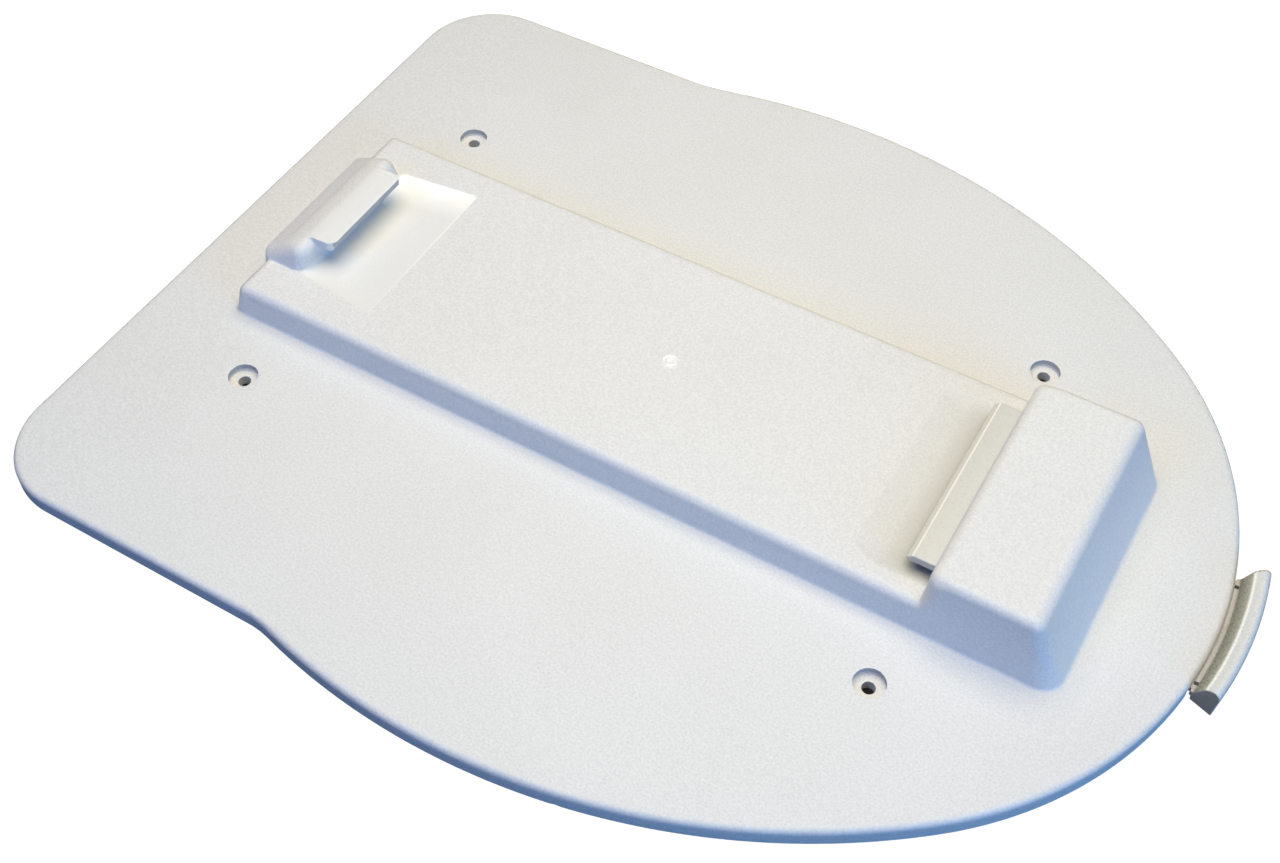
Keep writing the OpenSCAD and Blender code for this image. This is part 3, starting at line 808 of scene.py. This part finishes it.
def remap(tree, value, low, high, from_low=0.3, from_high=0.7):
    """Low where the value is at or below from_low, rising to high at from_high."""
    node = tree.nodes.new("ShaderNodeMapRange")
    for socket, number in zip(("From Min", "From Max", "To Min", "To Max"),
                              (from_low, from_high, low, high)):
        node.inputs[socket].default_value = number
    tree.links.new(value, node.inputs["Value"])
    return node.outputs["Result"]


def calculate(tree, operation, *values):
    """Result of a math node whose inputs are other nodes' values."""
    node = tree.nodes.new("ShaderNodeMath")
    node.operation = operation
    for value, socket in zip(values, node.inputs):
        tree.links.new(value, socket)
    return node.outputs["Value"]


def blend_colours(tree, factor, one, two):
    """Colour between one, which is a colour or another node's result, and the colour two."""
    node = tree.nodes.new("ShaderNodeMix")
    node.data_type = "RGBA"
    tree.links.new(factor, node.inputs["Factor"])
    if isinstance(one, tuple):
        node.inputs["A"].default_value = (*one, 1)
    else:
        tree.links.new(one, node.inputs["A"])
    node.inputs["B"].default_value = (*two, 1)
    return node.outputs["Result"]


def multiply_colours(tree, one, two):
    node = tree.nodes.new("ShaderNodeMix")
    node.data_type = "RGBA"
    node.blend_type = "MULTIPLY"
    node.inputs["Factor"].default_value = 1
    tree.links.new(one, node.inputs["A"])
    tree.links.new(two, node.inputs["B"])
    return node.outputs["Result"]


def axis_ramp(tree, value, low, high, start, end):
    """Low to high between two places along an axis, in millimetres."""
    return remap(tree, value, low, high, start * MM, end * MM)


def split_axes(tree, where):
    node = tree.nodes.new("ShaderNodeSeparateXYZ")
    tree.links.new(where, node.inputs["Vector"])
    return node.outputs


def painted_highlight_part(tree, where):
    """How far the rear ramp gets its painted highlight, towards its far side and along its front
    edge.
    """
    axes = split_axes(tree, where)
    side = axis_ramp(tree, axes["Y"], 0, 1, *HIGHLIGHT_Y)
    edge = axis_ramp(tree, axes["X"], 0, 1, *HIGHLIGHT_X)
    fade = axis_ramp(tree, axes["Y"], 0.05, 0.7, -REAR_RAMP_HALF, REAR_RAMP_HALF)
    return calculate(tree, "MAXIMUM", calculate(tree, "MULTIPLY", fade, edge), side)


def painted_shade_part(tree, where):
    """How much painted shade darkens the front ramp, deepening towards the tongue."""
    axes = split_axes(tree, where)
    across = calculate(tree, "ABSOLUTE", axes["Y"])
    near = axis_ramp(tree, axes["X"], 0, 1, *SHADE_X)
    inside = axis_ramp(tree, across, 1, 0, FRONT_RAMP_HALF - 8, FRONT_RAMP_HALF)
    return calculate(tree, "MULTIPLY", near, inside)


def plastic(name, colour, roughness, grain, depth, speckle, second=None, spread=None):
    """Moulded plastic: spark-eroded grain, faint clouding and small differences in gloss.

    second is a colour that takes over where the function spread gives 1.
    """
    material, tree, shader, where = new_material(name)
    fine = noise(tree, where, grain, 3.0, 0.6)
    cloud = noise(tree, where, 0.06, 2.0)
    darker = tuple(c * (1 - 2 * speckle) for c in colour)
    mixed = blend_colours(tree, remap(tree, fine, 0, 1), darker, colour)
    if second:
        mixed = blend_colours(tree, spread(tree, where), mixed, second)
    clouding = blend_colours(tree, remap(tree, cloud, 0, 1), (0.975, 0.975, 0.97), (1, 1, 1))
    tree.links.new(multiply_colours(tree, mixed, clouding), shader.inputs["Base Color"])
    tree.links.new(remap(tree, fine, roughness - 0.04, roughness + 0.04),
                   shader.inputs["Roughness"])
    shader.inputs["IOR"].default_value = 1.49
    bump = tree.nodes.new("ShaderNodeBump")
    bump.inputs["Strength"].default_value = 1.0
    bump.inputs["Distance"].default_value = depth
    tree.links.new(fine, bump.inputs["Height"])
    tree.links.new(bump.outputs["Normal"], shader.inputs["Normal"])
    return material


def handle_plastic():
    """Warm plastic with painted shade on its shelf and finger side and a painted highlight line
    near the crest, in rings round the centre of the plate's edge.
    """
    material, tree, shader, where = new_material("handle_cream")
    radius = where
    for operation, vector in (("SUBTRACT", (FRONT_X * MM, 0, 0)), ("MULTIPLY", (1, 1, 0)),
                              ("LENGTH", None)):
        node = tree.nodes.new("ShaderNodeVectorMath")
        node.operation = operation
        tree.links.new(radius, node.inputs[0])
        if vector:
            node.inputs[1].default_value = vector
        radius = node.outputs["Value" if operation == "LENGTH" else "Vector"]
    rings = tree.nodes.new("ShaderNodeValToRGB")
    tree.links.new(axis_ramp(tree, radius, 0, 1, HANDLE_IN, HANDLE_OUT), rings.inputs["Fac"])
    stops = rings.color_ramp.elements
    while len(stops) < len(HANDLE_SHADE_RINGS):
        stops.new(0.5)
    for stop, (radius_mm, colour) in zip(stops, HANDLE_SHADE_RINGS):
        stop.position = (radius_mm - HANDLE_IN) / (HANDLE_OUT - HANDLE_IN)
        stop.color = (*colour, 1)
    fine = noise(tree, where, 0.0009, 3.0, 0.6)
    speckles = blend_colours(tree, remap(tree, fine, 0, 1), (0.95, 0.95, 0.95), (1, 1, 1))
    tree.links.new(multiply_colours(tree, rings.outputs["Color"], speckles),
                   shader.inputs["Base Color"])
    tree.links.new(remap(tree, fine, 0.24, 0.32), shader.inputs["Roughness"])
    return material


def steel(name, colour, roughness):
    """Plated or drawn steel with fine marks that vary the gloss."""
    material, tree, shader, where = new_material(name)
    marks = noise(tree, where, 0.0004, 4.0, 0.7)
    darker = tuple(0.8 * c for c in colour)
    tree.links.new(blend_colours(tree, remap(tree, marks, 0, 1), darker, colour),
                   shader.inputs["Base Color"])
    tree.links.new(remap(tree, marks, roughness - 0.08, roughness + 0.12),
                   shader.inputs["Roughness"])
    shader.inputs["Metallic"].default_value = 1.0
    return material


# plastic: colour, roughness, size of the grain and its depth in metres, strength of the speckle
GRAINED = plastic("plate_grained", (0.735, 0.73, 0.725), 0.55, 0.0009, 0.00008, 0.09)
# Polished ramp and lip, with a painted highlight that brightens the rear ramp's far side and front
# edge
POLISHED = plastic("plate_polished", (0.76, 0.76, 0.75), 0.2, 0.0012, 0.00002, 0.02,
                   (0.94, 0.93, 0.90), painted_highlight_part)
# Front ramp: a grey darker than the plate's, with painted shade that deepens towards the tongue
SHADED_RAMP = plastic("front_ramp", (0.70, 0.70, 0.70), 0.5, 0.0009, 0.00006, 0.08,
                (0.47, 0.46, 0.41), painted_shade_part)
# Dark grey that paints shade on the counterbores' walls and on the lip's front face
RECESS_SHADE = plastic("painted_recess_shade", (0.45, 0.45, 0.45), 0.6, 0.0009, 0.00008, 0.075)
GATE = plastic("gate_polished", (0.80, 0.80, 0.79), 0.25, 0.0012, 0.00003, 0.02)
CREAM = handle_plastic()
# Brown-grey that paints shade on the handle's end faces
END_SHADE = plastic("handle_end", (0.43, 0.36, 0.27), 0.5, 0.0009, 0.00008, 0.075)
# Near black that paints the shade inside the handle's small pits
PIT_SHADE = plastic("handle_pit", (0.03, 0.03, 0.03), 0.6, 0.0009, 0.00002, 0.075)
TONGUE = plastic("tongue_cream", (0.59, 0.59, 0.575), 0.3, 0.0009, 0.00002, 0.03)
# The bevel's warm tone is painted shade, and the strip above it is a painted highlight line
TONGUE_BEVEL_SHADE = plastic("tongue_bevel_shade", (0.69, 0.67, 0.58), 0.3, 0.0009, 0.00002, 0.03)
TONGUE_EDGE_HIGHLIGHT = plastic("tongue_edge_highlight", (0.88, 0.87, 0.82), 0.3, 0.0009, 0.00002, 0.03)
COVER = plastic("cover_plain", (0.74, 0.75, 0.75), 0.45, 0.0015, 0.00004, 0.02)
ZINC = steel("zinc", (0.72, 0.72, 0.74), 0.3)
WIRE = steel("wire", (0.62, 0.63, 0.66), 0.25)


# ---------------------------------------------------------------- the object

def paint(obj, *materials):
    obj.data.materials.clear()
    for material in materials:
        obj.data.materials.append(material)


def face_centres(obj):
    """Centres of an object's faces, in millimetres."""
    centre = np.empty(len(obj.data.polygons) * 3, np.float32)
    obj.data.polygons.foreach_get("center", centre)
    return centre.reshape(-1, 3) / MM


def choose_materials(obj, *groups):
    """Gives faces centred in any box (low, high) of the first group material 1, and so on."""
    centre = face_centres(obj)
    index = np.zeros(len(centre), np.int32)
    for number, boxes in enumerate(groups, 1):
        for low, high in boxes:
            index[((centre > low) & (centre < high)).all(1)] = number
    obj.data.polygons.foreach_set("material_index", index)


def add_base():
    """Base moulding, grained except on its ramps and lip and in its recesses; painted highlight on
    the rear ramp, painted shade on the front ramp, on the counterbores' walls and on the lip's
    face.
    """
    base = make_base()
    smooth(base)
    paint(base, GRAINED, POLISHED, RECESS_SHADE, SHADED_RAMP)
    ramp_top = PLINTH_Z - 0.02
    ramp = ((HOOK_FRONT, -REAR_RAMP_HALF, PLINTH_Z - REAR_RAMP_DEPTH - 0.6),
            (REAR_RAMP_X, REAR_RAMP_HALF, ramp_top))
    front = ((FRONT_RAMP_X, -FRONT_RAMP_HALF, PLINTH_Z - FRONT_RAMP_DEPTH - 0.6),
             (BLOCK_REAR - 0.2, FRONT_RAMP_HALF, ramp_top))
    lip_low = LIP_Z - LIP_T - 0.5
    lip = ((CREST_X + 1.5, -LIP_HALF, lip_low), (LIP_FRONT + 0.5, LIP_HALF, LIP_Z + 1))
    lip_face = ((LIP_FRONT - 0.9, -LIP_HALF, lip_low), (LIP_FRONT + 0.5, LIP_HALF, LIP_Z - 0.4))
    # The counterbores' walls and the lip's front face get painted shade
    reach = COUNTERBORE_R + 0.3
    shaded_places = [lip_face]
    for x in (-HOLE_X, HOLE_X):
        for y in (-HOLE_Y, HOLE_Y):
            shaded_places.append(((x - reach, y - reach, PLATE_H - 2.0),
                             (x + reach, y + reach, PLATE_H - 0.2)))
    choose_materials(base, (ramp, lip), shaded_places, (front,))
    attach(base, "plate")
    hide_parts("base_moulding")


def add_gate_mark():
    gate = make_gate_mark()
    paint(gate, GATE)
    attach(gate, "plate")


def add_handle():
    """Pull handle, with painted shade on its end faces and in its pits."""
    handle = make_contoured("handle_body", handle_distance, HANDLE_LOW, HANDLE_HIGH,
                            (0.4, 0.4, 0.4))
    smooth(handle)
    paint(handle, CREAM, END_SHADE, PIT_SHADE)
    x, y, z = face_centres(handle).T
    # End faces get painted shade; on the far end the band reaches further in, as a painted shadow
    # line along its edge
    ends = handle_end_distance(x, y) > np.where(y > 0, -0.8, -0.08)
    number = (ends & (np.hypot(x - FRONT_X, y) > HANDLE_IN - 0.1)).astype(np.int32)
    # The pits' walls get painted shade
    in_pit = (z > SHELF_Z[0] + 0.5) & (z < SHELF_Z[1] + 0.1)
    number[(handle_pit_distance(x, y) < 0.15) & in_pit] = 2
    handle.data.polygons.foreach_set("material_index", number)
    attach(handle, "latch")
    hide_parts("pull_handle")


def add_bolt():
    """Latch bolt, with painted shade on its tongue's bevel and a painted highlight line on the
    edge above it.
    """
    bolt = make_contoured("bolt_body", bolt_distance, BOLT_LOW, BOLT_HIGH, (0.25, 0.5, 0.25))
    smooth(bolt)
    paint(bolt, TONGUE, TONGUE_BEVEL_SHADE, TONGUE_EDGE_HIGHLIGHT)
    # The bevel gets painted shade, and the strip just above it a painted highlight line
    edge_x = TONGUE_TIP + 1.9
    bevel = ((TONGUE_TIP - 1, -TONGUE_HALF, TONGUE_Z - TONGUE_T),
             (edge_x, TONGUE_HALF, TONGUE_Z + 1))
    edge = ((edge_x, -TONGUE_HALF, TONGUE_Z - 0.6),
            (TONGUE_TIP + 2.6, TONGUE_HALF, TONGUE_Z + 1))
    choose_materials(bolt, (bevel,), (edge,))
    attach(bolt, "latch")
    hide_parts("latch_bolt")


def add_springs():
    """Both return springs, made as wire coils in place of their CAD nodes."""
    for node, y in (("return_spring_left", SPRING_Y), ("return_spring_right", -SPRING_Y)):
        spring = make_spring(node.replace("return_", "") + "_wire", y)
        smooth(spring, 60)
        paint(spring, WIRE)
        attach(spring, "plate")
        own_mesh(spring)
        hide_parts(node)


def paint_cad_nodes():
    for node in ("block_cover", "strap_keeper"):
        paint(NODES[node], COVER)
    for node in ("bolt_screws", "cover_screws", "keeper_screws"):
        paint(NODES[node], ZINC)


# ---------------------------------------------------------------- stage

WHITE_TO_CAMERA = 1.0               # light given off by the floor and backdrop, camera only
AROUND = 0.03                       # light that the surroundings give to the object
CAMERA_AZIMUTH = math.radians(-59.63)
CAMERA_ELEVATION = math.radians(51.59)
CAMERA_DISTANCE = 0.63382
CAMERA_TARGET = Vector((0.01357, -0.02693, PLATE_H * MM))
CAMERA_LENS = 45.0928125
CAMERA_SENSOR = 36


def is_camera_ray(tree):
    return tree.nodes.new("ShaderNodeLightPath").outputs["Is Camera Ray"]


def flat_sheet(name, half_x, half_y, z, colour):
    """Matt rectangle round the origin, at height z; everything in millimetres."""
    points = [(-half_x, -half_y, 0), (half_x, -half_y, 0), (half_x, half_y, 0),
              (-half_x, half_y, 0)]
    sheet = polygon_object(name, points, [(0, 1, 2, 3)])
    sheet.location.z = z * MM
    material = bpy.data.materials.new(name)
    material.use_nodes = True
    shader = material.node_tree.nodes["Principled BSDF"]
    shader.inputs["Base Color"].default_value = (*colour, 1)
    shader.inputs["Roughness"].default_value = 0.9
    paint(sheet, material)
    return sheet, material.node_tree, shader


def add_floor():
    """White floor, and a near-black sheet on it that paints the shade seen through the screw
    holes.
    """
    floor, tree, shader = flat_sheet("floor", 6000, 6000, -0.2, (0.12, 0.12, 0.12))
    shader.inputs["Specular IOR Level"].default_value = 0.0
    shader.inputs["Emission Color"].default_value = (1, 1, 1, 1)
    tree.links.new(remap(tree, is_camera_ray(tree), 0, WHITE_TO_CAMERA, 0, 1),
                   shader.inputs["Emission Strength"])
    # Near-black sheet under the plate: painted shade that is seen only through the screw holes
    hole_shade_sheet = flat_sheet("hole_shade_sheet", HOLE_X + 30, HOLE_Y + 25, -0.1, (0.01, 0.01, 0.012))[0]


def add_area_light(name, place, size, power, colour):
    """Round lamp aimed at the origin."""
    data = bpy.data.lights.new(name, "AREA")
    data.shape = "DISK"
    data.size = size
    data.energy = power
    data.color = colour
    light = add_to_scene(name, data)
    light.location = place
    light.rotation_mode = "QUATERNION"
    light.rotation_quaternion = (-Vector(place)).to_track_quat("-Z", "Y")


def add_lights():
    add_area_light("key_above", (0.0, 0.05, 0.88), 1.0, 11.35, (1.0, 0.93, 0.75))
    add_area_light("cool_near", (-0.75, -1.35, 1.25), 1.2, 10.4, (0.04, 0.27, 1.0))
    add_area_light("cool_front", (1.4, -0.55, 0.42), 0.8, 13.4, (0.17, 0.47, 1.0))
    world = bpy.data.worlds.new("studio")
    world.use_nodes = True
    tree = world.node_tree
    background = tree.nodes["Background"]
    seen = is_camera_ray(tree)
    tree.links.new(blend_colours(tree, seen, (0.6, 0.82, 1.0), (1, 1, 1)),
                   background.inputs["Color"])
    tree.links.new(remap(tree, seen, AROUND, WHITE_TO_CAMERA, 0, 1), background.inputs["Strength"])
    bpy.context.scene.world = world


def add_camera():
    """Camera at the three-quarter view from the front left of the plate, looking down."""
    out = Vector((math.cos(CAMERA_ELEVATION) * math.cos(CAMERA_AZIMUTH),
                  math.cos(CAMERA_ELEVATION) * math.sin(CAMERA_AZIMUTH),
                  math.sin(CAMERA_ELEVATION)))
    data = bpy.data.cameras.new("camera")
    data.sensor_width = CAMERA_SENSOR
    data.lens = CAMERA_LENS
    camera = add_to_scene("camera", data)
    camera.location = CAMERA_TARGET + out * CAMERA_DISTANCE
    camera.rotation_mode = "QUATERNION"
    camera.rotation_quaternion = (-out).to_track_quat("-Z", "Y")
    bpy.context.scene.camera = camera


add_camera()
add_floor()
add_lights()
add_base()
add_gate_mark()
add_handle()
add_bolt()
add_springs()
paint_cad_nodes()
bpy.context.scene.view_settings.view_transform = "Standard"
